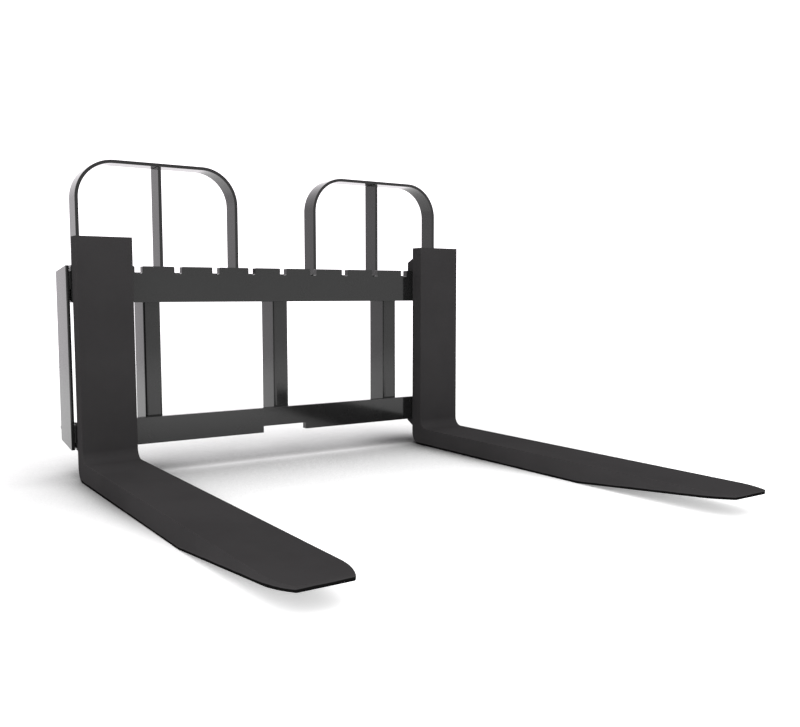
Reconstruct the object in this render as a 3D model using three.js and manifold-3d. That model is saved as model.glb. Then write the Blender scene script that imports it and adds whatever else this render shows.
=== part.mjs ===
// Pallet fork attachment: a walk-through fork carriage with two brick-guard hoops and two
// hook-on forks. Millimetres, +X to the right, +Y towards the loader, +Z up.
// Inside the assembly Y = 0 is the front face of the two fork bars and Z = 0 is the floor;
// the assembly is then moved along Y so that the origin lies at the middle of the footprint.
import * as THREE from 'three';
import { mergeVertices } from 'three/addons/utils/BufferGeometryUtils.js';
import Module from 'manifold-3d';

const wasm = await Module();
wasm.setup();

// ---- driving dimensions -------------------------------------------------------------------
const GAP = 0.3;                   // clearance left between welded or resting pieces
const PLATE = 9.5;                 // end plates, top plate, lip, feet and hoop bar

const FORK_X = 559;                // middle of each fork, held by the outermost notch
const FIRST_NOTCH = 105.5;         // the middle notch's distance to the next one
const NOTCH_PITCH = 115.3;
const NOTCH_WIDTH = 22;
const NOTCH_DEPTH = 21;
const BAR_THICKNESS = 22;
const TOP_BAR = { low: 490, high: 592 };
const LOW_BAR = { low: 84, high: 161 };
const RELIEF = { width: 147, height: 20 };    // lets a fork's lower hook out of the low bar

const HALF_WIDTH = 649.5;          // outer face of each end plate
const END_PLATE_DEPTH = 115.5;
const END_PLATE_TAPER = 15;        // how far its top and bottom edges close in at the back

const UPRIGHT = { width: 50, depth: 92, wall: 6, corner: 8, low: 106, spacing: 408.5 };
const TOP_PLATE_Z = 565.5;         // underside of the plate that carries the hoops

const HOOP = { inner: 130, outer: 609, front: 43.5, width: 65, radius: 110, high: 888 };

const FORK = {
  x: FORK_X, width: 151, back: -3, shank: 51, blade: 57, high: 668,
  reach: 1219, bend: 737, tip: 11, heelRadius: 38, insideRadius: 30,
  tipRadius: 195, tipRun: 86,      // arcs narrow the last 86 mm of the blade
};
const HOOK = { width: 130, back: 40, tongueHigh: 577, tongueLow: 102, top: 633, bottom: 58 };
const PIN = { y: 11.5, radius: 9, collar: 11, stem: 5, low: 594.5, high: 670 };
const POCKET = { radius: 11.6, floor: 603, pad: 633 };   // spring pocket bored in the hook
const HANDLE = { z: 663, radius: 4, length: 72 };

const LIP = { halfWidth: 590, low: 490, bend: 540, run: 34, gussetHigh: 576, gussetRun: 33 };
const FOOT = { bend: 143, low: 108, run: 52, drop: 10, slotWidth: 90, slotDepth: 32 };

// ---- materials ----------------------------------------------------------------------------
const paint = new THREE.MeshStandardMaterial({ color: 0x333333, roughness: 0.38, metalness: 0 });
const forkPaint = new THREE.MeshStandardMaterial({ color: 0x2f2e2e, roughness: 0.42, metalness: 0 });
const zinc = new THREE.MeshStandardMaterial({ color: 0xb4b6b8, roughness: 0.35, metalness: 1 });
const springSteel = new THREE.MeshStandardMaterial({ color: 0x6d6f72, roughness: 0.3, metalness: 1 });

// ---- helpers ------------------------------------------------------------------------------
const ARC_STEPS = 6;

// A closed outline from corners [u, v, radius]; a corner with a radius becomes an arc.
function outline(corners, arcSteps = ARC_STEPS) {
  const points = [];
  corners.forEach(([u, v, radius = 0], i) => {
    const corner = new THREE.Vector2(u, v);
    if (radius === 0) {
      points.push(corner);
      return;
    }
    const before = corners[(i + corners.length - 1) % corners.length];
    const after = corners[(i + 1) % corners.length];
    const toBefore = new THREE.Vector2(before[0] - u, before[1] - v).normalize();
    const toAfter = new THREE.Vector2(after[0] - u, after[1] - v).normalize();
    const halfAngle = Math.acos(toBefore.dot(toAfter)) / 2;
    const reach = radius / Math.tan(halfAngle);
    const middle = toBefore.clone().add(toAfter).normalize();
    const centre = corner.clone().addScaledVector(middle, radius / Math.sin(halfAngle));
    const start = corner.clone().addScaledVector(toBefore, reach).sub(centre);
    const end = corner.clone().addScaledVector(toAfter, reach).sub(centre);
    const turn = Math.atan2(start.cross(end), start.dot(end));
    for (let s = 0; s <= arcSteps; s += 1) {
      const origin = new THREE.Vector2();
      points.push(start.clone().rotateAround(origin, (turn * s) / arcSteps).add(centre));
    }
  });
  return new THREE.Shape(points);
}

const X = new THREE.Vector3(1, 0, 0);
const Y = new THREE.Vector3(0, 1, 0);
const Z = new THREE.Vector3(0, 0, 1);

// Outline in (y, z), extruded along X from x0 to x1.
function alongX(shape, x0, x1) {
  const geometry = new THREE.ExtrudeGeometry(shape, { depth: x1 - x0, bevelEnabled: false });
  geometry.applyMatrix4(new THREE.Matrix4().makeBasis(Y, Z, X));
  return geometry.translate(x0, 0, 0);
}

// Outline in (x, z), extruded along Y from y0 to y1.
function alongY(shape, y0, y1) {
  const geometry = new THREE.ExtrudeGeometry(shape, { depth: y1 - y0, bevelEnabled: false });
  geometry.applyMatrix4(new THREE.Matrix4().makeBasis(X, Z, Y.clone().negate()));
  return geometry.translate(0, y1, 0);
}

// Outline in (x, y), extruded along Z from z0 to z1.
function alongZ(shape, z0, z1) {
  const geometry = new THREE.ExtrudeGeometry(shape, { depth: z1 - z0, bevelEnabled: false });
  return geometry.translate(0, 0, z0);
}

function box(x0, x1, y0, y1, z0, z1) {
  const geometry = new THREE.BoxGeometry(x1 - x0, y1 - y0, z1 - z0);
  return geometry.translate((x0 + x1) / 2, (y0 + y1) / 2, (z0 + z1) / 2);
}

// A round piece about the Z axis at (x, y); profile is [radius, z] pairs, closed on the axis.
function turned(profile, x, y, sides = 24) {
  const geometry = new THREE.LatheGeometry(profile.map(([r, z]) => new THREE.Vector2(r, z)), sides);
  return geometry.rotateX(Math.PI / 2).translate(x, y, 0);
}

function cylinder(radius, x, y, z0, z1, sides = 24) {
  return turned([[0, z0], [radius, z0], [radius, z1], [0, z1]], x, y, sides);
}

function toSolid(geometry) {
  const bare = geometry.clone();
  bare.deleteAttribute('normal');
  bare.deleteAttribute('uv');
  const merged = mergeVertices(bare, 1e-4);
  return new wasm.Manifold(new wasm.Mesh({
    numProp: 3,
    vertProperties: new Float32Array(merged.attributes.position.array),
    triVerts: new Uint32Array(merged.index.array),
  }));
}

function fromSolid(solid) {
  const { vertProperties, triVerts } = solid.getMesh();
  const geometry = new THREE.BufferGeometry();
  geometry.setAttribute('position', new THREE.BufferAttribute(new Float32Array(vertProperties), 3));
  geometry.setIndex(new THREE.BufferAttribute(new Uint32Array(triVerts), 1));
  const flat = geometry.toNonIndexed();
  flat.computeVertexNormals();
  return flat;
}

function cut(geometry, ...tools) {
  return fromSolid(tools.reduce((solid, tool) => solid.subtract(toSolid(tool)), toSolid(geometry)));
}

function join(geometry, ...others) {
  return fromSolid(others.reduce((solid, other) => solid.add(toSolid(other)), toSolid(geometry)));
}

function common(geometry, ...others) {
  return fromSolid(others.reduce((solid, o) => solid.intersect(toSolid(o)), toSolid(geometry)));
}

const assembly = new THREE.Group();

function add(name, geometry, material = paint) {
  const mesh = new THREE.Mesh(geometry, material);
  mesh.name = name;
  assembly.add(mesh);
}

const SIDES = [['left', -1], ['right', 1]];
const INSIDE = HALF_WIDTH - PLATE;            // inner face of each end plate

// ---- fork bars ----------------------------------------------------------------------------
const BAR_END = INSIDE - GAP;
const END_STEP = 4.5;              // the bar ends are stepped back from the end plates
const NOTCH_LIP = 3;               // radius at the mouth of a notch
const NOTCH_CORNER = 5;            // radius at the floor of a notch
const NOTCHES_ONE_SIDE = [0, 1, 2, 3].map((n) => FIRST_NOTCH + n * NOTCH_PITCH).concat(FORK_X);
const NOTCHES = [...NOTCHES_ONE_SIDE, 0, ...NOTCHES_ONE_SIDE.map((x) => -x)].sort((a, b) => b - a);

function topForkBar() {
  const { low, high } = TOP_BAR;
  const shoulder = BAR_END - END_STEP;
  const corners = [
    [-shoulder, low], [shoulder, low],
    [shoulder, low + 36], [BAR_END, low + 36], [BAR_END, high - 16], [shoulder, high - 16],
    [shoulder, high],
  ];
  for (const x of NOTCHES) {
    const right = x + NOTCH_WIDTH / 2;
    const left = x - NOTCH_WIDTH / 2;
    const floor = high - NOTCH_DEPTH;
    corners.push([right, high, NOTCH_LIP], [right, floor, NOTCH_CORNER]);
    corners.push([left, floor, NOTCH_CORNER], [left, high, NOTCH_LIP]);
  }
  corners.push([-shoulder, high], [-shoulder, high - 16], [-BAR_END, high - 16]);
  corners.push([-BAR_END, low + 36], [-shoulder, low + 36]);
  return alongY(outline(corners, 4), 0, BAR_THICKNESS);
}

function lowForkBar() {
  const { low, high } = LOW_BAR;
  const shoulder = BAR_END - END_STEP;
  const corners = [
    [-shoulder, low], [-RELIEF.width / 2, low],
    [-RELIEF.width / 2, low + RELIEF.height, 2], [RELIEF.width / 2, low + RELIEF.height, 2],
    [RELIEF.width / 2, low], [shoulder, low],
    [shoulder, low + 20], [BAR_END, low + 20], [BAR_END, high - 6], [shoulder, high - 6],
    [shoulder, high], [-shoulder, high],
    [-shoulder, high - 6], [-BAR_END, high - 6], [-BAR_END, low + 20], [-shoulder, low + 20],
  ];
  return alongY(outline(corners), 0, BAR_THICKNESS);
}

add('top_fork_bar', topForkBar());
add('bottom_fork_bar', lowForkBar());

// ---- frame behind the bars ----------------------------------------------------------------
const UPRIGHT_FRONT = BAR_THICKNESS + GAP;
const UPRIGHT_BACK = UPRIGHT_FRONT + UPRIGHT.depth;

// A rectangular tube, open at both ends.
function upright(x) {
  const { width, wall, corner, low } = UPRIGHT;
  const ring = (inset) => {
    const radius = corner - inset;
    const left = x - width / 2 + inset;
    const right = x + width / 2 - inset;
    const front = UPRIGHT_FRONT + inset;
    const back = UPRIGHT_BACK - inset;
    return outline([
      [left, front, radius], [right, front, radius], [right, back, radius], [left, back, radius],
    ]);
  };
  const section = ring(0);
  section.holes.push(ring(wall));
  return alongZ(section, low, TOP_PLATE_Z - GAP);
}

add('upright_left', upright(-UPRIGHT.spacing));
add('upright_center', upright(0));
add('upright_right', upright(UPRIGHT.spacing));

for (const [side, sign] of SIDES) {
  const shape = outline([
    [0, LOW_BAR.low, 3], [END_PLATE_DEPTH, LOW_BAR.low + END_PLATE_TAPER, 3],
    [END_PLATE_DEPTH, TOP_BAR.high - END_PLATE_TAPER, 3], [0, TOP_BAR.high, 3],
  ]);
  const inner = sign * INSIDE;
  const outer = sign * HALF_WIDTH;
  add(`end_plate_${side}`, alongX(shape, Math.min(inner, outer), Math.max(inner, outer)));
}

const PLATE_END = INSIDE - GAP;
add('hoop_mounting_plate', box(
  -PLATE_END, PLATE_END, UPRIGHT_FRONT, UPRIGHT_BACK, TOP_PLATE_Z, TOP_PLATE_Z + PLATE,
));

// ---- brick guard hoops --------------------------------------------------------------------
const HOOP_FOOT = TOP_PLATE_Z + PLATE + GAP;
const HOOP_STEPS = 10;

// A flat bar bent to an upturned U, its wide face square to the fork bars.
function hoop(sign) {
  const { inner, outer, front, width, radius, high } = HOOP;
  const a = sign * inner;
  const b = sign * outer;
  const left = Math.min(a, b);
  const right = Math.max(a, b);
  const shape = outline([
    [left, HOOP_FOOT], [left + PLATE, HOOP_FOOT],
    [left + PLATE, high - PLATE, radius - PLATE], [right - PLATE, high - PLATE, radius - PLATE],
    [right - PLATE, HOOP_FOOT], [right, HOOP_FOOT],
    [right, high, radius], [left, high, radius],
  ], HOOP_STEPS);
  return alongY(shape, front, front + width);
}

for (const [side, sign] of SIDES) {
  add(`guard_hoop_${side}`, hoop(sign));
  const middle = (sign * (HOOP.inner + HOOP.outer)) / 2;
  add(`guard_hoop_bar_${side}`, box(
    middle - PLATE / 2, middle + PLATE / 2, HOOP.front, HOOP.front + HOOP.width,
    HOOP_FOOT, HOOP.high - PLATE - GAP,
  ));
}

// ---- loader coupling ----------------------------------------------------------------------
const COUPLING_FRONT = UPRIGHT_BACK + GAP;
const SLANT = PLATE * Math.tan(Math.PI / 8);   // mitre of a plate bent through 45 degrees

function lip() {
  const { low, bend, run } = LIP;
  const back = COUPLING_FRONT + PLATE;
  const edge = PLATE * Math.SQRT1_2;
  return outline([
    [COUPLING_FRONT, low], [back, low], [back, bend - SLANT],
    [back + run, bend - SLANT + run], [back + run - edge, bend - SLANT + run + edge],
    [COUPLING_FRONT, bend],
  ]);
}

add('coupler_top_lip', alongX(lip(), -LIP.halfWidth, LIP.halfWidth));

// Gussets fill the wedge between the slanted lip and the mounting plate behind each upright.
for (const [side, sign] of [['left', -1], ['center', 0], ['right', 1]]) {
  const x = sign * UPRIGHT.spacing;
  const slant = LIP.bend + GAP * 1.5;
  const tip = COUPLING_FRONT + LIP.gussetRun;
  const shape = outline([
    [COUPLING_FRONT, slant], [tip, slant + LIP.gussetRun],
    [tip, LIP.gussetHigh], [COUPLING_FRONT, LIP.gussetHigh],
  ]);
  add(`lip_gusset_${side}`, alongX(shape, x - PLATE / 2, x + PLATE / 2));
}

// Each foot is a bent plate between an end plate and an outer upright, slotted for the
// loader's lock wedge.
function foot(sign) {
  const { bend, low, run, drop, slotWidth, slotDepth } = FOOT;
  const outer = INSIDE - GAP;
  const inner = UPRIGHT.spacing + UPRIGHT.width / 2 + GAP;
  const back = UPRIGHT_BACK;
  const front = back - PLATE;
  const shape = outline([
    [front, low], [back, low], [back, bend - PLATE, 2],
    [back + run, bend - PLATE - drop], [back + run, bend - drop], [front, bend + 1],
  ]);
  const x0 = sign > 0 ? inner : -outer;
  const x1 = sign > 0 ? outer : -inner;
  const middle = (x0 + x1) / 2;
  const slotFront = back + 10;
  const slot = alongZ(outline([
    [middle - slotWidth / 2, slotFront, 6], [middle + slotWidth / 2, slotFront, 6],
    [middle + slotWidth / 2, slotFront + slotDepth, 6],
    [middle - slotWidth / 2, slotFront + slotDepth, 6],
  ]), low - 20, bend + 20);
  return cut(alongX(shape, x0, x1), slot);
}

for (const [side, sign] of SIDES) {
  add(`coupler_foot_${side}`, foot(sign));
}

// ---- forks --------------------------------------------------------------------------------
const SHANK_FRONT = FORK.back - FORK.shank;
const BLADE_TIP = SHANK_FRONT - FORK.reach;

// Plan of a fork about its own middle: its last stretch narrows along two arcs to a flat tip.
function forkPlan() {
  const half = FORK.width / 2;
  const steps = 8;
  const sweep = Math.asin(FORK.tipRun / FORK.tipRadius);
  const arc = [];
  for (let s = 0; s <= steps; s += 1) {
    const angle = (sweep * s) / steps;
    const inset = FORK.tipRadius * (1 - Math.cos(angle));
    arc.push([half - inset, BLADE_TIP + FORK.tipRun - FORK.tipRadius * Math.sin(angle)]);
  }
  const left = arc.map(([u, v]) => [-u, v]);
  return [[-half, FORK.back + 1], ...left, ...arc.reverse(), [half, FORK.back + 1]];
}

// Side outline of the forging crossed with its plan.
function forkBody(x) {
  const { back, blade, high, bend, tip, width, heelRadius, insideRadius } = FORK;
  const side = outline([
    [back, high, 2], [SHANK_FRONT, high, 2], [SHANK_FRONT, blade, insideRadius],
    [BLADE_TIP, blade], [BLADE_TIP, blade - tip], [SHANK_FRONT - bend, 0],
    [back, 0, heelRadius],
  ], 10);
  const plan = new THREE.Shape(forkPlan().map(([u, v]) => new THREE.Vector2(x + u, v)));
  return common(alongX(side, x - width, x + width), alongZ(plan, -1, high + 1));
}

const HOOK_FRONT = FORK.back + GAP;
const TONGUE_FRONT = BAR_THICKNESS + GAP * 2;
const PAD = { halfWidth: 22, back: 30 };

// Upper hook: rests on the top bar, with a tongue behind it and a bored pad for the lock pin.
function upperHook(x) {
  const half = HOOK.width / 2;
  const seat = TOP_BAR.high + GAP;
  const shape = outline([
    [HOOK_FRONT, seat], [TONGUE_FRONT, seat], [TONGUE_FRONT, HOOK.tongueHigh],
    [HOOK.back, HOOK.tongueHigh, 3], [HOOK.back, HOOK.top - 13], [12, HOOK.top],
    [HOOK_FRONT, HOOK.top],
  ], 3);
  const pad = box(
    x - PAD.halfWidth, x + PAD.halfWidth, HOOK_FRONT, PAD.back, seat + 8, POCKET.pad,
  );
  return cut(
    join(alongX(shape, x - half, x + half), pad),
    cylinder(PIN.radius + 0.5, x, PIN.y, seat - 5, POCKET.floor + 1),
    cylinder(POCKET.radius, x, PIN.y, POCKET.floor, POCKET.pad + 5),
  );
}

// Lower hook: passes under the low bar, with a tongue behind it.
function lowerHook(x) {
  const half = HOOK.width / 2;
  const seat = LOW_BAR.low - GAP;
  const shape = outline([
    [HOOK_FRONT, seat], [HOOK_FRONT, HOOK.bottom], [8, HOOK.bottom],
    [HOOK.back, HOOK.bottom + 16], [HOOK.back, HOOK.tongueLow, 3],
    [TONGUE_FRONT, HOOK.tongueLow], [TONGUE_FRONT, seat],
  ], 3);
  return alongX(shape, x - half, x + half);
}

// ---- fork lock ----------------------------------------------------------------------------
const CAP = { low: POCKET.pad + GAP, thickness: 4.5, halfWidth: 19, front: -2.2, back: 27 };
const COLLAR = { low: 621.5, thickness: 4 };
const SPRING = { wire: 0.9, radius: 8.4, turns: 2.5 };

// The pin is shown lifted and parked, clear of the notches; its stem is cross-drilled.
function lockPin(x) {
  const { radius, collar, stem, low, high, y } = PIN;
  const collarTop = COLLAR.low + COLLAR.thickness;
  const body = turned([
    [0, low], [radius - 2, low], [radius, low + 2], [radius, COLLAR.low], [collar, COLLAR.low],
    [collar, collarTop], [stem, collarTop], [stem, high - 1], [stem - 1, high], [0, high],
  ], x, y);
  const crossHole = new THREE.CylinderGeometry(
    HANDLE.radius + GAP, HANDLE.radius + GAP, 40, 16,
  ).rotateZ(Math.PI / 2).translate(x, y, HANDLE.z);
  return cut(body, crossHole);
}

// Cross bar through the stem, with rounded ends.
function lockHandle(x) {
  const { length, radius, z } = HANDLE;
  const half = length / 2;
  const end = radius + 1.5;
  const profile = [[0, -half - 3], [end - 2, -half - 2], [end, -half], [end, -half + 8]];
  profile.push([radius, -half + 11], [radius, half - 11]);
  profile.push([end, half - 8], [end, half], [end - 2, half + 2], [0, half + 3]);
  const geometry = new THREE.LatheGeometry(profile.map(([r, l]) => new THREE.Vector2(r, l)), 16);
  return geometry.rotateZ(-Math.PI / 2).translate(x, PIN.y, z);
}

function lockCap(x) {
  const { low, thickness, halfWidth, front, back } = CAP;
  const shape = outline([
    [x - halfWidth, front, 3], [x + halfWidth, front, 3],
    [x + halfWidth, back, 3], [x - halfWidth, back, 3],
  ], 3);
  return cut(
    alongZ(shape, low, low + thickness),
    cylinder(PIN.stem + 0.6, x, PIN.y, low - 1, low + thickness + 1),
  );
}

class Helix extends THREE.Curve {
  constructor(x, y, z0, z1, radius, turns) {
    super();
    Object.assign(this, { x, y, z0, z1, radius, turns });
  }

  getPoint(t, target = new THREE.Vector3()) {
    const angle = 2 * Math.PI * this.turns * t;
    const z = this.z0 + (this.z1 - this.z0) * t;
    const { x, y, radius } = this;
    return target.set(x + radius * Math.cos(angle), y + radius * Math.sin(angle), z);
  }
}

// The spring sits compressed between the pin's collar and the cap.
function lockSpring(x) {
  const { wire, radius, turns } = SPRING;
  const low = COLLAR.low + COLLAR.thickness + wire + GAP;
  const high = CAP.low - wire - GAP;
  const section = new THREE.Shape().absarc(0, 0, wire, 0, 2 * Math.PI);
  return new THREE.ExtrudeGeometry(section, {
    steps: Math.round(turns * 16),
    curveSegments: 6,
    bevelEnabled: false,
    extrudePath: new Helix(x, PIN.y, low, high, radius, turns),
  });
}

for (const [side, sign] of SIDES) {
  const x = sign * FORK.x;
  add(`fork_${side}`, forkBody(x), forkPaint);
  add(`fork_upper_hook_${side}`, upperHook(x), forkPaint);
  add(`fork_lower_hook_${side}`, lowerHook(x), forkPaint);
  add(`lock_pin_${side}`, lockPin(x), zinc);
  add(`lock_handle_${side}`, lockHandle(x), zinc);
  add(`lock_cap_${side}`, lockCap(x), zinc);
  add(`lock_spring_${side}`, lockSpring(x), springSteel);
}

// ---- origin at the middle of the footprint ------------------------------------------------
const REARMOST = UPRIGHT_BACK + FOOT.run;
const lipBack = COUPLING_FRONT + PLATE + LIP.run;
assembly.position.y = -(BLADE_TIP + Math.max(REARMOST, lipBack)) / 2;

const group = new THREE.Group();
group.add(assembly);
export default group;
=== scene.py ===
"""Looks of the pallet fork attachment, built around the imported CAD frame.

Metres, +X right, +Y towards the loader, +Z up. Places come from the boxes of the CAD nodes.
"""

import math
import random

import bmesh
import bpy
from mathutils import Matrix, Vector


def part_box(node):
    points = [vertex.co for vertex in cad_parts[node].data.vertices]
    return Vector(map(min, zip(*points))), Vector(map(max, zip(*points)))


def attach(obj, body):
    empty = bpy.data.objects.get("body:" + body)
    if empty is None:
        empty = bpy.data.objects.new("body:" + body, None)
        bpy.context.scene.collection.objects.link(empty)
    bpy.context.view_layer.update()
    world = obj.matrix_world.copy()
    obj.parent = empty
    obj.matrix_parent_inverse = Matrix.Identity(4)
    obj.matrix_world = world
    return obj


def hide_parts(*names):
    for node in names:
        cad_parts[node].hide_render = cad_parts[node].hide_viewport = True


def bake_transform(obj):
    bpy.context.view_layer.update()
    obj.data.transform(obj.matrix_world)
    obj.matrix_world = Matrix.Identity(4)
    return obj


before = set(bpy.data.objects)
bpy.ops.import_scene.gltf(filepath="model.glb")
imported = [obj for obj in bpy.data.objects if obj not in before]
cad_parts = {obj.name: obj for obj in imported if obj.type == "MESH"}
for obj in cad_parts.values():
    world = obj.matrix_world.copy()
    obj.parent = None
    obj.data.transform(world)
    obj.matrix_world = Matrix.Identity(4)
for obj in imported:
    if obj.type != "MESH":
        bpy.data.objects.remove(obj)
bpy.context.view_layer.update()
random.seed(12)

SIDES = ("left", "right")
UPRIGHTS = ("left", "center", "right")
PLATE = 0.0095                # thickness of the hoop strips

# ---- node helpers ---------------------------------------------------------------------------


class Shader:
    """A small wrapper that adds nodes to a tree and links what is given as a socket."""

    def __init__(self, tree):
        self.tree = tree
        tree.nodes.clear()

    def node(self, kind, out=0, inputs=None, **settings):
        made = self.tree.nodes.new(kind)
        for key, value in settings.items():
            setattr(made, key, value)
        for key, value in (inputs or {}).items():
            self.feed(made.inputs[key], value)
        return made.outputs[out] if len(made.outputs) > out else made

    def feed(self, socket, value):
        if isinstance(value, bpy.types.NodeSocket):
            self.tree.links.new(value, socket)
        else:
            socket.default_value = value

    def noise(self, place, scale, detail=2.0, rough=0.5, distort=0.0):
        return self.node(
            "ShaderNodeTexNoise",
            inputs={"Vector": place, "Scale": scale, "Detail": detail,
                    "Roughness": rough, "Distortion": distort},
        )

    def ramp(self, value, low, high, to_low=0.0, to_high=1.0, smooth=True):
        kind = "SMOOTHSTEP" if smooth else "LINEAR"
        return self.node(
            "ShaderNodeMapRange", interpolation_type=kind,
            inputs={"Value": value, "From Min": low, "From Max": high,
                    "To Min": to_low, "To Max": to_high},
        )

    def math(self, operation, a, b=0.0, clamp=False):
        return self.node(
            "ShaderNodeMath", operation=operation, use_clamp=clamp, inputs={0: a, 1: b},
        )

    def mix(self, factor, a, b):
        return self.node(
            "ShaderNodeMix", out=2, data_type="RGBA",
            inputs={"Factor": factor, "A": a, "B": b},
        )

    def vector(self, operation, a, b, out=0):
        return self.node("ShaderNodeVectorMath", out=out, operation=operation,
                         inputs={0: a, 1: b})


def grey(value, tint=(1.0, 1.0, 1.0)):
    return (value * tint[0], value * tint[1], value * tint[2], 1.0)


# ---- materials ------------------------------------------------------------------------------

FORK = {
    "thick": 0.051,           # shank, front to back
    "blade": 0.057,           # blade, top to bottom
    "bend": 0.737,            # from the shank's front to where the underside starts to rise
    "tip": 0.011,             # blade's thickness at its tip
    "heel": 0.038,            # radius behind and below
    "inside": 0.030,          # radius between shank and blade
    "tip_radius": 0.195,      # radius that narrows the blade
    "tip_run": 0.086,         # over this length
    "top_edge": 0.0014,
    "under_edge": 0.0030,
    "end_edge": 0.0008,
}
# Painted shade along the forks' lower edges and a painted highlight line above it.
MARKS_AND_SHADING = {
    "band": 0.0060,           # painted shade: the underside's black edge band reaches this far up
    "band_fade": (0.0008, -0.0004),
    "highlight_line": 0.0080,           # and a faint painted highlight line runs above it
    "highlight_line_fade": 0.001,
    "waver": 0.0005,
    "dark": 0.14,             # the painted shade, of the paint's own value
    "light": 1.3,
}


def edge_mask(shader, radius):
    """1 on rounded edges and corners, 0 on flats."""
    soft = shader.node("ShaderNodeBevel", samples=4, inputs={"Radius": radius})
    hard = shader.node("ShaderNodeNewGeometry", out=1)
    likeness = shader.vector("DOT_PRODUCT", soft, hard, out=1)
    return shader.ramp(likeness, 0.99, 0.86)


def fork_marks_and_shading(s, place, base, tint, colour, rough):
    """Fine drag marks along the fork, a black band of painted shade on its lower edges."""
    light = grey(base * MARKS_AND_SHADING["light"], tint)
    along = s.vector("MULTIPLY", place, (260.0, 5.0, 40.0))
    streaks = s.ramp(s.noise(along, 1.0, detail=5.0, rough=0.6), 0.56, 0.72)
    colour = s.mix(s.math("MULTIPLY", streaks, 0.10), colour, light)
    rough = s.math("SUBTRACT", rough, s.math("MULTIPLY", streaks, 0.05))
    low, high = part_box("fork_left")        # both forks have the same reach and heights
    bend = high.y - FORK["thick"] - FORK["bend"]
    y = s.node("ShaderNodeSeparateXYZ", out=1, inputs={0: place})
    z = s.node("ShaderNodeSeparateXYZ", out=2, inputs={0: place})
    underside = s.ramp(y, low.y, bend, FORK["blade"] - FORK["tip"], 0.0, smooth=False)
    above = s.math("SUBTRACT", z, underside)
    waver = s.ramp(s.noise(place, 22.0, detail=3.0), 0.3, 0.7, -MARKS_AND_SHADING["waver"], MARKS_AND_SHADING["waver"])
    above = s.math("ADD", above, waver)
    # painted highlight: a lighter line just above the band
    highlight_line = s.ramp(above, MARKS_AND_SHADING["highlight_line"] + MARKS_AND_SHADING["highlight_line_fade"], MARKS_AND_SHADING["highlight_line"])
    colour = s.mix(s.math("MULTIPLY", highlight_line, 0.5), colour, light)
    # painted shade: the lower edges turn black
    upper, lower = (MARKS_AND_SHADING["band"] + fade for fade in MARKS_AND_SHADING["band_fade"])
    band = s.ramp(above, upper, lower)
    return s.mix(band, colour, grey(base * MARKS_AND_SHADING["dark"])), rough


def coat(name, base, roughness, specular, peel, worn, edge_radius, tint=(1.0, 1.0, 1.0),
         marks_and_shading=None):
    """Black powder coat: faint patches, smudges, orange peel and rubbed edges."""
    material = bpy.data.materials.new(name)
    material.use_nodes = True
    s = Shader(material.node_tree)
    place = s.node("ShaderNodeTexCoord", out=3)
    patches = s.noise(place, 4.0, detail=4.0, rough=0.55)
    smudges = s.noise(place, 38.0, detail=3.0, rough=0.6, distort=0.4)
    grain = s.noise(place, peel["scale"], detail=2.0, rough=0.6)
    colour = s.mix(s.ramp(patches, 0.35, 0.65), grey(base * 0.94, tint),
                   grey(base * 1.06, tint))
    rough = s.ramp(smudges, 0.3, 0.7, roughness * 0.85, roughness * 1.15)
    edges = edge_mask(s, edge_radius)
    breaks = s.ramp(s.noise(place, 90.0, detail=4.0, rough=0.7), 0.40, 0.62)
    rubbed = s.math("MULTIPLY", edges, breaks, clamp=True)
    colour = s.mix(rubbed, colour, grey(worn, tint))
    rough = s.math("ADD", rough, s.math("MULTIPLY", rubbed, 0.08), clamp=True)
    # for the forks: drag marks, painted shade and a painted highlight
    if marks_and_shading:
        colour, rough = marks_and_shading(s, place, base, tint, colour, rough)
    bump = s.node("ShaderNodeBump", inputs={"Strength": peel["strength"],
                                            "Distance": peel["depth"], "Height": grain})
    shader = s.node(
        "ShaderNodeBsdfPrincipled",
        inputs={"Base Color": colour, "Roughness": rough, "IOR": 1.5,
                "Specular IOR Level": specular, "Normal": bump},
    )
    s.node("ShaderNodeOutputMaterial", inputs={"Surface": shader})
    return material


PLATED_EDGE = 0.0008


def plated(name, tint, roughness, streak):
    """Zinc plate or drawn steel: spangle, and fine grain that streak stretches along Z."""
    material = bpy.data.materials.new(name)
    material.use_nodes = True
    s = Shader(material.node_tree)
    place = s.node("ShaderNodeTexCoord", out=3)
    spangle = s.noise(place, 140.0, detail=3.0, rough=0.6)
    stretched = s.vector("MULTIPLY", place, (1.0, 1.0, streak))
    fine = s.noise(stretched, 900.0, detail=3.0, rough=0.7)
    darker = [c * 0.82 for c in tint[:3]] + [1.0]
    colour = s.mix(s.ramp(spangle, 0.3, 0.7), darker, tint)
    edges = edge_mask(s, PLATED_EDGE)
    colour = s.mix(s.math("MULTIPLY", edges, 0.5), colour, grey(0.75))
    rough = s.ramp(fine, 0.3, 0.7, roughness - 0.08, roughness + 0.1)
    bump = s.node("ShaderNodeBump", inputs={"Strength": 0.12, "Distance": 0.0002,
                                            "Height": fine})
    shader = s.node(
        "ShaderNodeBsdfPrincipled",
        inputs={"Base Color": colour, "Metallic": 1.0, "Roughness": rough, "Normal": bump},
    )
    s.node("ShaderNodeOutputMaterial", inputs={"Surface": shader})
    return material


FRAME_PAINT = coat("frame_paint", base=0.0120, roughness=0.10, specular=0.42,
                   peel={"scale": 300.0, "strength": 0.05, "depth": 0.0002},
                   worn=0.022, edge_radius=0.0018)
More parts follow.
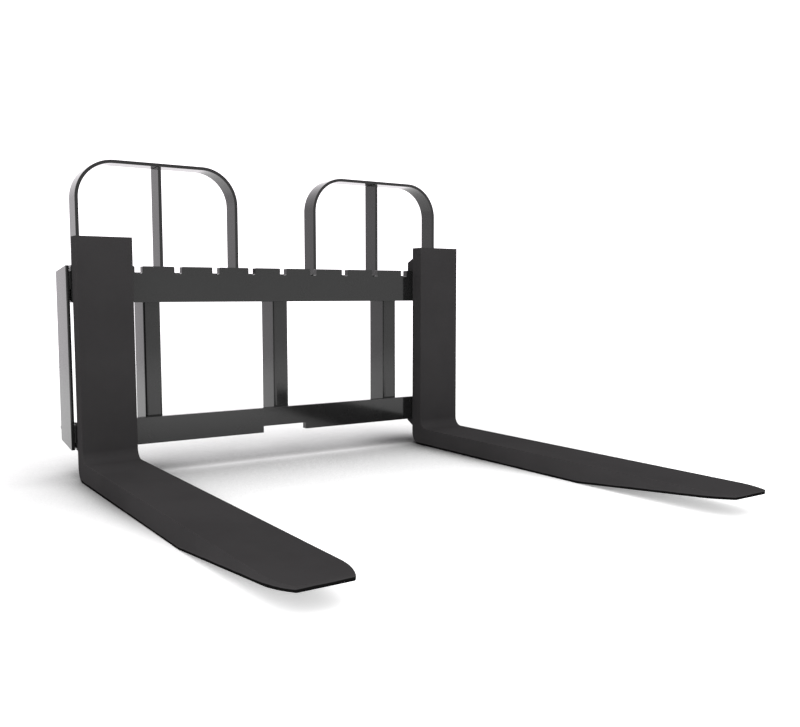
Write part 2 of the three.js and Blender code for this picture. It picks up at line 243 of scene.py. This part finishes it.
# The forks' paint adds painted shade and a painted highlight along the lower edges.
FORK_PAINT = coat("fork_paint", base=0.0335, roughness=0.60, specular=0.0,
                  peel={"scale": 620.0, "strength": 0.25, "depth": 0.0003},
                  worn=0.042, edge_radius=0.0026, tint=(1.02, 0.975, 1.0), marks_and_shading=fork_marks_and_shading)
ZINC = plated("zinc", (0.56, 0.57, 0.58, 1.0), roughness=0.32, streak=1.0)
SPRING_STEEL = plated("spring_steel", (0.30, 0.31, 0.33, 1.0), roughness=0.28, streak=0.1)
FINISH = {"frame_paint": FRAME_PAINT, "fork_paint": FORK_PAINT, "zinc": ZINC,
          "spring_steel": SPRING_STEEL}

# ---- mesh helpers ---------------------------------------------------------------------------

AXES = {                      # a point (u, v) of an outline that is carried w along an axis
    "X": lambda u, v, w: Vector((w, u, v)),
    "Y": lambda u, v, w: Vector((u, w, v)),
    "Z": lambda u, v, w: Vector((u, v, w)),
}


def outline(corners, steps=8):
    """A closed outline from corners (u, v) or (u, v, radius); a radius becomes an arc."""
    points = []
    for i, (u, v, *radius) in enumerate(corners):
        here = Vector((u, v))
        if not radius or radius[0] <= 0:
            points.append(here)
            continue
        to_before = (Vector(corners[i - 1][:2]) - here).normalized()
        to_after = (Vector(corners[(i + 1) % len(corners)][:2]) - here).normalized()
        half = to_before.angle(to_after) / 2
        centre = here + (to_before + to_after).normalized() * (radius[0] / math.sin(half))
        start = here + to_before * (radius[0] / math.tan(half)) - centre
        end = here + to_after * (radius[0] / math.tan(half)) - centre
        turn = math.atan2(start.x * end.y - start.y * end.x, start.dot(end))
        for step in range(steps + 1):
            angle = turn * step / steps
            points.append(centre + Vector((
                start.x * math.cos(angle) - start.y * math.sin(angle),
                start.x * math.sin(angle) + start.y * math.cos(angle),
            )))
    return points


def make_object(name, bm):
    bmesh.ops.recalc_face_normals(bm, faces=bm.faces[:])
    mesh = bpy.data.meshes.new(name)
    bm.to_mesh(mesh)
    bm.free()
    piece = bpy.data.objects.new(name, mesh)
    bpy.context.scene.collection.objects.link(piece)
    return piece


def loft(name, rings, closed=False):
    """A skin over rings of equal length; its ends are capped unless it closes on itself."""
    bm = bmesh.new()
    rows = [[bm.verts.new(point) for point in ring] for ring in rings]
    pairs = list(zip(rows, rows[1:]))
    if closed:
        pairs.append((rows[-1], rows[0]))
    for one, two in pairs:
        for i in range(len(one)):
            j = (i + 1) % len(one)
            bm.faces.new((one[i], one[j], two[j], two[i]))
    if not closed:
        bm.faces.new(rows[0])
        bm.faces.new(list(reversed(rows[-1])))
    return make_object(name, bm)


def prism(name, axis, points, low, high):
    """An outline carried along an axis from low to high."""
    place = AXES[axis]
    return loft(name, [[place(p.x, p.y, w) for p in points] for w in (low, high)])


def tube(name, outer, inner, low, high):
    """A hollow section along Z: outer and inner outlines of equal length."""
    place = AXES["Z"]
    rings = [[place(p.x, p.y, w) for p in points]
             for points, w in ((outer, low), (outer, high), (inner, high), (inner, low))]
    return loft(name, rings, closed=True)


SHARP_ANGLE = 32              # edges that turn more than this are rounded


def smooth(piece, bevel=0.0, segments=3):
    """Rounds the sharp edges and shades flats flat and roundings round."""
    for polygon in piece.data.polygons:
        polygon.use_smooth = True
    if bevel:
        rounding = piece.modifiers.new("rounding", "BEVEL")
        rounding.width = bevel
        rounding.segments = segments
        rounding.limit_method = "ANGLE"
        rounding.angle_limit = math.radians(SHARP_ANGLE)
        rounding.use_clamp_overlap = False
    normals = piece.modifiers.new("normals", "WEIGHTED_NORMAL")
    normals.weight = 100
    normals.keep_sharp = False


def dress(piece, slot):
    piece.data.materials.clear()
    piece.data.materials.append(FINISH[slot])


def place_piece(piece, body, slot, stands_for=()):
    dress(piece, slot)
    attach(piece, body)
    if stands_for:
        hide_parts(*stands_for)


# ---- fork bars ------------------------------------------------------------------------------

NOTCH = {"width": 0.022, "depth": 0.021, "lip": 0.003, "corner": 0.005}
NOTCHES = (0.559, 0.4514, 0.3361, 0.2208, 0.1055)      # to each side of the middle one
BAR_STEP = 0.0045             # the stepped part of a bar's end is this much shorter
BAR_ENDS = {"top": (0.036, 0.016), "bottom": (0.020, 0.006)}    # heights of its two steps
BAR_EDGE = 0.0011
RELIEF = {"half": 0.0735, "rise": 0.020, "corner": 0.002}       # cut from the low bar's middle


def bar_ends(low, high, from_bottom, from_top):
    """Corners of a bar's right end, whose tip is stepped back at its top and bottom."""
    return [
        (high.x - BAR_STEP, low.z), (high.x - BAR_STEP, low.z + from_bottom),
        (high.x, low.z + from_bottom), (high.x, high.z - from_top),
        (high.x - BAR_STEP, high.z - from_top), (high.x - BAR_STEP, high.z),
    ]


def mirrored(corners):
    return [(-c[0], *c[1:]) for c in reversed(corners)]


def top_bar():
    low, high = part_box("top_fork_bar")
    right_end = bar_ends(low, high, *BAR_ENDS["top"])
    corners = list(right_end)
    floor = high.z - NOTCH["depth"]
    for x in (*NOTCHES, 0.0, *(-n for n in reversed(NOTCHES))):
        right, left = x + NOTCH["width"] / 2, x - NOTCH["width"] / 2
        corners += [(right, high.z, NOTCH["lip"]), (right, floor, NOTCH["corner"]),
                    (left, floor, NOTCH["corner"]), (left, high.z, NOTCH["lip"])]
    corners += mirrored(right_end)
    shape = outline(corners)
    piece = prism("top_fork_bar_rail", "Y", shape, low.y, high.y)
    smooth(piece, BAR_EDGE)
    place_piece(piece, "carriage", "frame_paint", ["top_fork_bar"])


def bottom_bar():
    low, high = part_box("bottom_fork_bar")
    half, rise, corner = RELIEF["half"], RELIEF["rise"], RELIEF["corner"]
    right_end = bar_ends(low, high, *BAR_ENDS["bottom"])
    corners = right_end + mirrored(right_end)
    corners += [(-half, low.z), (-half, low.z + rise, corner),
                (half, low.z + rise, corner), (half, low.z)]
    shape = outline(corners)
    piece = prism("bottom_fork_bar_rail", "Y", shape, low.y, high.y)
    smooth(piece, BAR_EDGE)
    place_piece(piece, "carriage", "frame_paint", ["bottom_fork_bar"])


top_bar()
bottom_bar()

# ---- uprights, end plates and the mounting plate --------------------------------------------

UPRIGHT_CORNER = 0.008
UPRIGHT_WALL = 0.006
UPRIGHT_EDGE = 0.0008
END_PLATE = {"taper": 0.015, "corner": 0.003}
PLATE_EDGE = 0.0010
STRIP_EDGE = 0.0012           # the hoops' strips and the forks' upper hooks


def upright(side):
    low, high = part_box(f"upright_{side}")

    def ring(inset):
        radius = UPRIGHT_CORNER - inset
        x0, x1 = low.x + inset, high.x - inset
        y0, y1 = low.y + inset, high.y - inset
        return outline([(x0, y0, radius), (x1, y0, radius), (x1, y1, radius),
                        (x0, y1, radius)], 10)

    piece = tube(f"upright_tube_{side}", ring(0), ring(UPRIGHT_WALL), low.z, high.z)
    smooth(piece, UPRIGHT_EDGE, segments=2)
    place_piece(piece, "carriage", "frame_paint", [f"upright_{side}"])


def end_plate(side):
    low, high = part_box(f"end_plate_{side}")
    taper, radius = END_PLATE["taper"], END_PLATE["corner"]
    shape = outline([(low.y, low.z, radius), (high.y, low.z + taper, radius),
                     (high.y, high.z - taper, radius), (low.y, high.z, radius)])
    piece = prism(f"end_plate_skin_{side}", "X", shape, low.x, high.x)
    smooth(piece, PLATE_EDGE)
    place_piece(piece, "carriage", "frame_paint", [f"end_plate_{side}"])


def flat_bar(node, name, bevel=PLATE_EDGE):
    """A straight piece of bar or plate with rounded edges."""
    low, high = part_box(node)
    shape = outline([(low.x, low.y), (high.x, low.y), (high.x, high.y), (low.x, high.y)])
    piece = prism(name, "Z", shape, low.z, high.z)
    smooth(piece, bevel)
    place_piece(piece, "carriage", "frame_paint", [node])


for side in UPRIGHTS:
    upright(side)
for side in SIDES:
    end_plate(side)
flat_bar("hoop_mounting_plate", "hoop_shelf")

# ---- guard hoops ----------------------------------------------------------------------------

HOOP_RADIUS = 0.110
HOOP_STEPS = 32


def guard_hoop(side):
    low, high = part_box(f"guard_hoop_{side}")
    inside = HOOP_RADIUS - PLATE
    shape = outline([
        (low.x, low.z), (low.x + PLATE, low.z),
        (low.x + PLATE, high.z - PLATE, inside), (high.x - PLATE, high.z - PLATE, inside),
        (high.x - PLATE, low.z), (high.x, low.z),
        (high.x, high.z, HOOP_RADIUS), (low.x, high.z, HOOP_RADIUS),
    ], HOOP_STEPS)
    piece = prism(f"guard_hoop_band_{side}", "Y", shape, low.y, high.y)
    smooth(piece, STRIP_EDGE)
    place_piece(piece, "carriage", "frame_paint", [f"guard_hoop_{side}"])


for side in SIDES:
    guard_hoop(side)
    flat_bar(f"guard_hoop_bar_{side}", f"guard_hoop_post_{side}", STRIP_EDGE)

# ---- loader coupling: the CAD shapes with rounded edges -------------------------------------


def keep(node, slot, bevel=0.0):
    """Shows a CAD node itself, with rounded edges and its finish."""
    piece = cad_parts[node]
    dress(piece, slot)
    smooth(piece, bevel)


for node in ("coupler_top_lip", "coupler_foot_left", "coupler_foot_right",
             "lip_gusset_left", "lip_gusset_center", "lip_gusset_right"):
    keep(node, "frame_paint", PLATE_EDGE)

# ---- forks ----------------------------------------------------------------------------------

SHANK_LEVELS = (0.5, 0.3, 0.16)       # Z of the sections down the shank
BLADE_STOPS = (0.30, 0.15, 0.0)       # Y of those along the level part of the blade
TAPER_STOPS = (0.012, 0.004, -0.004, -0.012, -0.10, -0.25, -0.38)       # Y from the bend
HEEL_STEPS = 28
TIP_STEPS = 14
END_STEPS = 4
CORNER_STEPS = 4
LEAST_RADIUS = 0.0001
THIN_EDGE = 0.45              # an underside's rounding is at most this share of its thickness


def fork_ring(x, half, inner, outer, r_inner, r_outer, inset):
    """A rounded section; inner is on the load side of the fork and outer is behind or under."""
    across = outer - inner
    thick = across.length
    across = across / thick
    half -= inset
    points = []
    r_inner = max(r_inner - inset, LEAST_RADIUS)
    r_outer = max(r_outer - inset, LEAST_RADIUS)
    corners = ((-1, inset, r_inner, 270), (-1, thick - inset, r_outer, 180),
               (1, thick - inset, r_outer, 90), (1, inset, r_inner, 0))
    for sign, level, radius, first in corners:
        toward = 1 if level < thick / 2 else -1
        for step in range(CORNER_STEPS + 1):
            angle = math.radians(first - 90 * step / CORNER_STEPS)
            u = sign * (half - radius) + radius * math.cos(angle)
            v = level + toward * radius + radius * math.sin(angle)
            points.append(Vector((x + u, *(inner + across * v))))
    return points


def end_rounding():
    """How far each section of a rounded end falls short of the end, and how far it is inset."""
    turns = [math.radians(90 * step / END_STEPS) for step in range(END_STEPS + 1)]
    return [(1 - math.sin(turn), 1 - math.cos(turn)) for turn in turns]


def fork(side):
    low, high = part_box(f"fork_{side}")
    x, half = (low.x + high.x) / 2, (high.x - low.x) / 2
    back, front = high.y, high.y - FORK["thick"]
    blade, heel, inside = FORK["blade"], FORK["heel"], FORK["inside"]
    end = FORK["end_edge"]
    stations = []                     # (inner point, outer point, half width, inset)
    for short, inward in reversed(end_rounding()):
        z = high.z - end * short
        stations.append((Vector((front, z)), Vector((back, z)), half, end * inward))
    for z in SHANK_LEVELS:
        stations.append((Vector((front, z)), Vector((back, z)), half, 0.0))
    for step in range(HEEL_STEPS + 1):
        angle = math.radians(90 * step / HEEL_STEPS)
        inner = Vector((front - inside + inside * math.cos(angle),
                        blade + inside - inside * math.sin(angle)))
        outer = Vector((back - heel + heel * math.cos(angle),
                        heel - heel * math.sin(angle)))
        stations.append((inner, outer, half, 0.0))
    bend = front - FORK["bend"]
    lift = blade - FORK["tip"]
    radius, run = FORK["tip_radius"], FORK["tip_run"]

    def blade_station(y, width, inset=0.0):
        share = max(0.0, (bend - y) / (bend - low.y))
        stations.append((Vector((y, blade)), Vector((y, lift * share)), width, inset))

    for y in BLADE_STOPS:
        blade_station(y, half)
    for stop in TAPER_STOPS:
        blade_station(bend + stop, half)
    sweep = math.asin(run / radius)
    for step in range(TIP_STEPS + 1):
        angle = sweep * step / TIP_STEPS
        to_go = 1 - math.sin(angle) / math.sin(sweep)
        blade_station(low.y + end + (run - end) * to_go, half - radius * (1 - math.cos(angle)))
    last = half - radius * (1 - math.cos(sweep))
    for short, inward in end_rounding()[1:]:
        blade_station(low.y + end * short, last, end * inward)
    rings = []
    for inner, outer, width, inset in stations:
        under_edge = min(FORK["under_edge"], (outer - inner).length * THIN_EDGE)
        rings.append(fork_ring(x, width, inner, outer, FORK["top_edge"], under_edge, inset))
    piece = loft(f"fork_forging_{side}", rings)
    smooth(piece)
    place_piece(piece, f"fork_{side}", "fork_paint", [f"fork_{side}"])


SPRING = {"wire": 0.00085, "turns": 4.5, "steps": 28, "sides": 10}     # wire is its radius


def lock_spring(side):
    """A coil spring squeezed between the lock's cap and the collar of its pin."""
    low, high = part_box(f"lock_spring_{side}")
    x, y = (low.x + high.x) / 2, (low.y + high.y) / 2
    wire = SPRING["wire"]
    radius = (high.x - low.x) / 2 - wire
    rise = high.z - low.z - 2 * wire
    steps = round(SPRING["turns"] * SPRING["steps"])
    round_wire = [2 * math.pi * k / SPRING["sides"] for k in range(SPRING["sides"])]
    up = Vector((0, 0, 1))
    rings = []
    for step in range(steps + 1):
        turn = 2 * math.pi * SPRING["turns"] * step / steps
        out = Vector((math.cos(turn), math.sin(turn), 0.0))
        middle = Vector((x, y, low.z + wire + rise * step / steps)) + out * radius
        rings.append([middle + (out * math.cos(a) + up * math.sin(a)) * wire
                      for a in round_wire])
    piece = loft(f"lock_coil_{side}", rings)
    dress(piece, "spring_steel")
    smooth(piece)
    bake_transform(piece)
    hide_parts(f"lock_spring_{side}")


LOWER_HOOK_EDGE = 0.0015
CAP_EDGE = 0.0005

for side in SIDES:
    fork(side)
    keep(f"fork_upper_hook_{side}", "fork_paint", STRIP_EDGE)
    keep(f"fork_lower_hook_{side}", "fork_paint", LOWER_HOOK_EDGE)
    keep(f"lock_cap_{side}", "zinc", CAP_EDGE)
    keep(f"lock_pin_{side}", "zinc")
    keep(f"lock_handle_{side}", "zinc")
    lock_spring(side)

# ---- weld beads -----------------------------------------------------------------------------

RIPPLE = {"pitch": 0.0034, "height": 0.10, "bow": 0.0016, "step": 0.00085}
BEAD_CROWN = 0.62             # the middle of the bead's face, in leg lengths
BEAD_PROFILE = ((-0.06, -0.06), (1.0, -0.06), (0.88, 0.30), (BEAD_CROWN, BEAD_CROWN),
                (0.30, 0.88), (-0.06, 1.0))
BEAD_END = 0.08               # a bead starts and stops at this share of its size


class Welds:
    """Fillet beads gathered into one piece for a body."""

    def __init__(self, name, body, slot):
        self.name, self.body, self.slot = name, body, slot
        self.bm = bmesh.new()

    def bead(self, start, end, one, two, leg):
        """A rippled bead in the corner between the surfaces that run along one and two."""
        start, end, one, two = (Vector(v) for v in (start, end, one, two))
        run = end - start
        count = max(6, round(run.length / RIPPLE["step"]))
        begin = random.random() * math.tau
        rows = []
        for i in range(count + 1):
            at = run.length * i / count
            to_end = min(at, run.length - at)
            grown = math.sqrt(1 - (1 - min(1.0, to_end / leg)) ** 2)
            full = grown * (1 - BEAD_END) + BEAD_END
            row = []
            for a, b in BEAD_PROFILE:
                crown = max(0.0, min(a, b)) / BEAD_CROWN
                phase = begin + math.tau * (at + RIPPLE["bow"] * crown) / RIPPLE["pitch"]
                lift = 1 + RIPPLE["height"] * crown * math.sin(phase)
                swell = (one * a + two * b) * (leg * full * lift)
                row.append(self.bm.verts.new(start + run * (i / count) + swell))
            rows.append(row)
        for before, after in zip(rows, rows[1:]):
            for i in range(len(before)):
                j = (i + 1) % len(before)
                self.bm.faces.new((before[i], before[j], after[j], after[i]))
        self.bm.faces.new(rows[0])
        self.bm.faces.new(list(reversed(rows[-1])))

    def finish(self):
        piece = make_object(self.name, self.bm)
        for polygon in piece.data.polygons:
            polygon.use_smooth = True
        place_piece(piece, self.body, self.slot)


LEG = 0.006
LEG_SMALL = 0.0042
SHY = 0.003                   # beads stop this far from the end of a joint
ROUNDED_IN = 0.3              # beads start in from a rounded corner, by this share of it
STITCHES = (-0.58, -0.33, -0.23, 0.10, 0.17, 0.48)
STITCH_LENGTH = 0.075
BACKWARD, UP, DOWN = (0, 1, 0), (0, 0, 1), (0, 0, -1)


def outward(sign):
    return (sign, 0, 0)


def bar_welds(welds, low, high, top):
    """Beads between one fork bar and the uprights and end plates."""
    bottom, top = low.z + SHY, top - SHY
    corner = UPRIGHT_CORNER * ROUNDED_IN
    for side in UPRIGHTS:
        left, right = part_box(f"upright_{side}")
        for x, sign in ((left.x + corner, -1), (right.x - corner, 1)):
            welds.bead((x, high.y, max(bottom, left.z + SHY)), (x, high.y, top),
                       outward(sign), BACKWARD, LEG + corner)
    for side, sign in zip(SIDES, (-1, 1)):
        x = sign * min(abs(c.x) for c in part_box(f"end_plate_{side}"))
        welds.bead((x, high.y, bottom), (x, high.y, top), outward(-sign), BACKWARD, LEG)


def hoop_welds(welds, side, level):
    """Beads round the three feet of a guard hoop, on the mounting plate's top."""
    low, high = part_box(f"guard_hoop_{side}")
    post_low, post_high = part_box(f"guard_hoop_bar_{side}")
    feet = ((low.x, low.x + PLATE), (post_low.x, post_high.x), (high.x - PLATE, high.x))
    for left, right in feet:
        for x, sign in ((left, -1), (right, 1)):
            welds.bead((x, low.y + SHY, level), (x, high.y - SHY, level),
                       outward(sign), UP, LEG_SMALL)
        welds.bead((left, high.y, level), (right, high.y, level), BACKWARD, UP, LEG_SMALL)


def carriage_welds():
    welds = Welds("carriage_welds", "carriage", "frame_paint")
    shelf_low, shelf_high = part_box("hoop_mounting_plate")
    for node in ("bottom_fork_bar", "top_fork_bar"):
        low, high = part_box(node)
        bar_welds(welds, low, high, min(high.z, shelf_low.z))
    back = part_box("top_fork_bar")[1].y
    for start in STITCHES:
        welds.bead((start, back, shelf_low.z), (start + STITCH_LENGTH, back, shelf_low.z),
                   BACKWARD, DOWN, LEG)
    for side in SIDES:
        hoop_welds(welds, side, shelf_high.z)
    for side in UPRIGHTS:
        low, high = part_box(f"lip_gusset_{side}")
        for x, sign in ((low.x, -1), (high.x, 1)):
            welds.bead((x, low.y, low.z + SHY), (x, low.y, high.z - SHY),
                       outward(sign), BACKWARD, LEG_SMALL)
    welds.finish()


def fork_welds(side):
    welds = Welds(f"fork_welds_{side}", f"fork_{side}", "fork_paint")
    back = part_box(f"fork_{side}")[1].y
    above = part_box("top_fork_bar")[1].z
    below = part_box("bottom_fork_bar")[0].z
    for level in ("upper", "lower"):
        low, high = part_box(f"fork_{level}_hook_{side}")
        bottom, top = (above, high.z) if level == "upper" else (low.z, below)
        for x, sign in ((low.x, -1), (high.x, 1)):
            welds.bead((x, back, bottom + SHY), (x, back, top - SHY), outward(sign),
                       BACKWARD, LEG_SMALL)
    welds.finish()


carriage_welds()
for side in SIDES:
    fork_welds(side)

# ---- floor, light and camera ----------------------------------------------------------------

FLOOR = {"radius": 7.0, "level": -0.0004, "fade": (2.6, 5.5), "albedo": (0.90, 0.92)}
# "full" and "none" are distances ahead of the carriage, along Y.
FLOOR_GLOW = {"strength": 0.50, "full": 1.25, "none": 0.35}     # the floor shines at the tips
FLOOR_SHADE = {
    "reach": 0.9,             # how far off an object still shades the floor
    "from": 0.26,             # full shade where this share of the view is open
    "to": 0.98,               # none where this share is open
    "none": 0.95,
    "full": 0.25,
}


def studio_floor():
    """A pale disc that is shaded close to the carriage and fades into the surround."""
    bm = bmesh.new()
    bmesh.ops.create_circle(bm, cap_ends=True, segments=96, radius=FLOOR["radius"])
    floor = make_object("studio_floor", bm)
    floor.location.z = FLOOR["level"]
    material = bpy.data.materials.new("studio_floor")
    material.use_nodes = True
    s = Shader(material.node_tree)
    place = s.node("ShaderNodeTexCoord", out=3)
    reach = s.vector("LENGTH", place, (0.0, 0.0, 0.0), out=1)
    mottle = s.ramp(s.noise(place, 6.0, detail=3.0), 0.3, 0.7)
    near = s.node("ShaderNodeAmbientOcclusion", out=1, samples=8,
                  inputs={"Distance": FLOOR_SHADE["reach"]})
    y = s.node("ShaderNodeSeparateXYZ", out=1, inputs={0: place})
    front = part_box("top_fork_bar")[0].y
    depth = s.ramp(y, front - FLOOR_SHADE["none"], front - FLOOR_SHADE["full"])
    shade = s.math("MULTIPLY", depth,
                   s.ramp(near, FLOOR_SHADE["to"], FLOOR_SHADE["from"], smooth=False))
    colour = s.mix(mottle, *(grey(albedo) for albedo in FLOOR["albedo"]))
    colour = s.mix(shade, colour, grey(0.0))
    matte = s.node("ShaderNodeBsdfDiffuse", inputs={"Color": colour})
    lit = s.ramp(y, front - FLOOR_GLOW["full"], front - FLOOR_GLOW["none"],
                 FLOOR_GLOW["strength"], 0.0)
    glow = s.node("ShaderNodeEmission", inputs={"Color": grey(1.0), "Strength": lit})
    matte = s.node("ShaderNodeAddShader", inputs={0: matte, 1: glow})
    clear = s.node("ShaderNodeBsdfTransparent")
    shown = s.node("ShaderNodeMixShader",
                   inputs={0: s.ramp(reach, *FLOOR["fade"]), 1: matte, 2: clear})
    s.node("ShaderNodeOutputMaterial", inputs={"Surface": shown})
    floor.data.materials.append(material)


def direction(azimuth, elevation=0.0):
    """Unit vector; azimuth turns from +Y towards +X."""
    a, e = math.radians(azimuth), math.radians(elevation)
    return (math.sin(a) * math.cos(e), math.cos(a) * math.cos(e), math.sin(e))


SURROUND = 1.20               # brightness all around, to which these broad panels and gaps add
GLOWS = (
    {"azimuth": 30, "elevation": 13, "from": 0.60, "to": 0.97, "gain": 0.52},
    {"azimuth": -105, "elevation": 45, "from": 0.72, "to": 0.98, "gain": 1.10},
    {"azimuth": -35, "elevation": -2, "from": 0.90, "to": 0.99, "gain": -0.20},
    {"azimuth": -98, "elevation": 0, "from": 0.86, "to": 0.97, "gain": -0.80},
)
# Behind the carriage the light is faintly pink.
BLUSH = {"toward": (0, 0), "from": 0.2, "to": 0.8, "tint": (1.0, 0.965, 0.995)}
# A darker band above the horizon on the front side, which the frame's front faces mirror.
DIP = {"azimuth": 168, "from": 0.80, "to": 0.97, "low": (0.025, 0.060), "high": (0.14, 0.30),
       "gain": -0.35}
LAMP = {"side": 5.0, "height": 3.6, "energy": 6.0}
CAMERA = {"place": (-1.22297, -1.92283, 0.51513), "turn": 0.5901, "tilt": -0.0917,
          "lens": 39.43, "sensor": 36.0, "shift": 0.0131}


def studio_light():
    world = bpy.data.worlds.new("studio")
    bpy.context.scene.world = world
    world.use_nodes = True
    s = Shader(world.node_tree)
    look = s.node("ShaderNodeTexCoord", out=0)
    total = SURROUND
    for glow in GLOWS:
        along = s.vector("DOT_PRODUCT", look, direction(glow["azimuth"], glow["elevation"]),
                         out=1)
        lit = s.ramp(along, glow["from"], glow["to"], 0.0, glow["gain"])
        total = s.math("ADD", lit, total)
    behind = s.vector("DOT_PRODUCT", look, direction(*BLUSH["toward"]), out=1)
    pink = s.ramp(behind, BLUSH["from"], BLUSH["to"])
    hue = s.mix(pink, grey(1.0), grey(1.0, BLUSH["tint"]))
    height = s.node("ShaderNodeSeparateXYZ", out=2, inputs={0: look})
    above = s.math("SUBTRACT", s.ramp(height, *DIP["low"]), s.ramp(height, *DIP["high"]))
    facing = s.vector("DOT_PRODUCT", look, direction(DIP["azimuth"]), out=1)
    toward = s.ramp(facing, DIP["from"], DIP["to"], 0.0, DIP["gain"])
    total = s.math("ADD", total, s.math("MULTIPLY", above, toward))
    sky = s.node("ShaderNodeBackground", inputs={"Color": hue, "Strength": total})
    s.node("ShaderNodeOutputWorld", inputs={"Surface": sky})
    lamp = bpy.data.lights.new("overhead", "AREA")
    lamp.shape = "RECTANGLE"
    lamp.size = LAMP["side"]
    lamp.size_y = LAMP["side"]
    lamp.energy = LAMP["energy"]
    overhead = bpy.data.objects.new("overhead", lamp)
    overhead.location = (0.0, 0.0, LAMP["height"])
    bpy.context.scene.collection.objects.link(overhead)


def studio_camera():
    data = bpy.data.cameras.new("camera")
    data.lens = CAMERA["lens"]
    data.sensor_width = CAMERA["sensor"]
    data.shift_y = CAMERA["shift"]
    camera = bpy.data.objects.new("camera", data)
    camera.location = CAMERA["place"]
    camera.rotation_euler = (math.pi / 2 + CAMERA["tilt"], 0.0, -CAMERA["turn"])
    bpy.context.scene.collection.objects.link(camera)
    bpy.context.scene.camera = camera


studio_floor()
studio_light()
studio_camera()
bpy.context.scene.view_settings.view_transform = "Standard"
